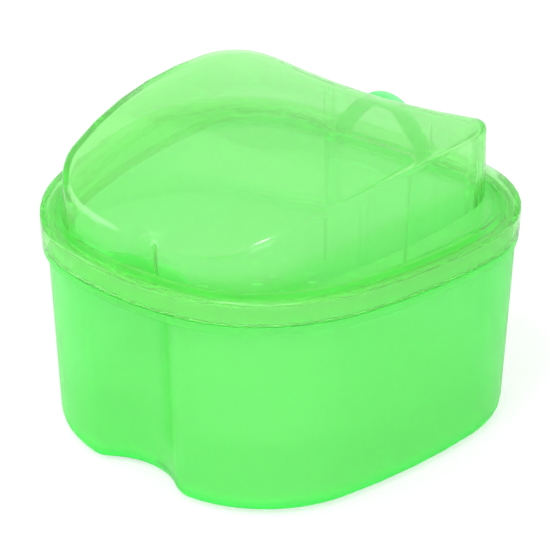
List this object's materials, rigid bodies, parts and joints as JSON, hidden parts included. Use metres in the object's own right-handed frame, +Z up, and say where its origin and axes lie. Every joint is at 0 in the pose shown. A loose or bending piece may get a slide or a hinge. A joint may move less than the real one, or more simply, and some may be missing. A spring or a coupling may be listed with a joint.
{
  "type": "denture case",
  "caption": "Denture case: tapered cup with a notched front, strainer basket with an arched handle, and a lift-off lid with a hollow raised dome.",
  "frame": {"origin": "centre of the footprint, on the table", "axes": "+Z up, -Y towards the notched front, +X to the right as seen from the front"},
  "size_m": [0.095, 0.0896, 0.0656],
  "materials": {
    "cup_green": "translucent, smooth",
    "basket_green": "translucent, smooth",
    "lid_green": "translucent, smooth"
  },
  "bodies": {
    "container": {"container": "cup_green"},
    "basket": {"basket": "basket_green"},
    "lid": {"lid": "lid_green"}
  },
  "joints": [
    {"name": "basket_lift", "type": "slide", "parent": "container", "child": "basket", "axis": [0, 0, 1], "range_m": [0, 0.05]},
    {"name": "lid_lift", "type": "slide", "parent": "basket", "child": "lid", "axis": [0, 0, 1], "range_m": [0, 0.03]}
  ]
}
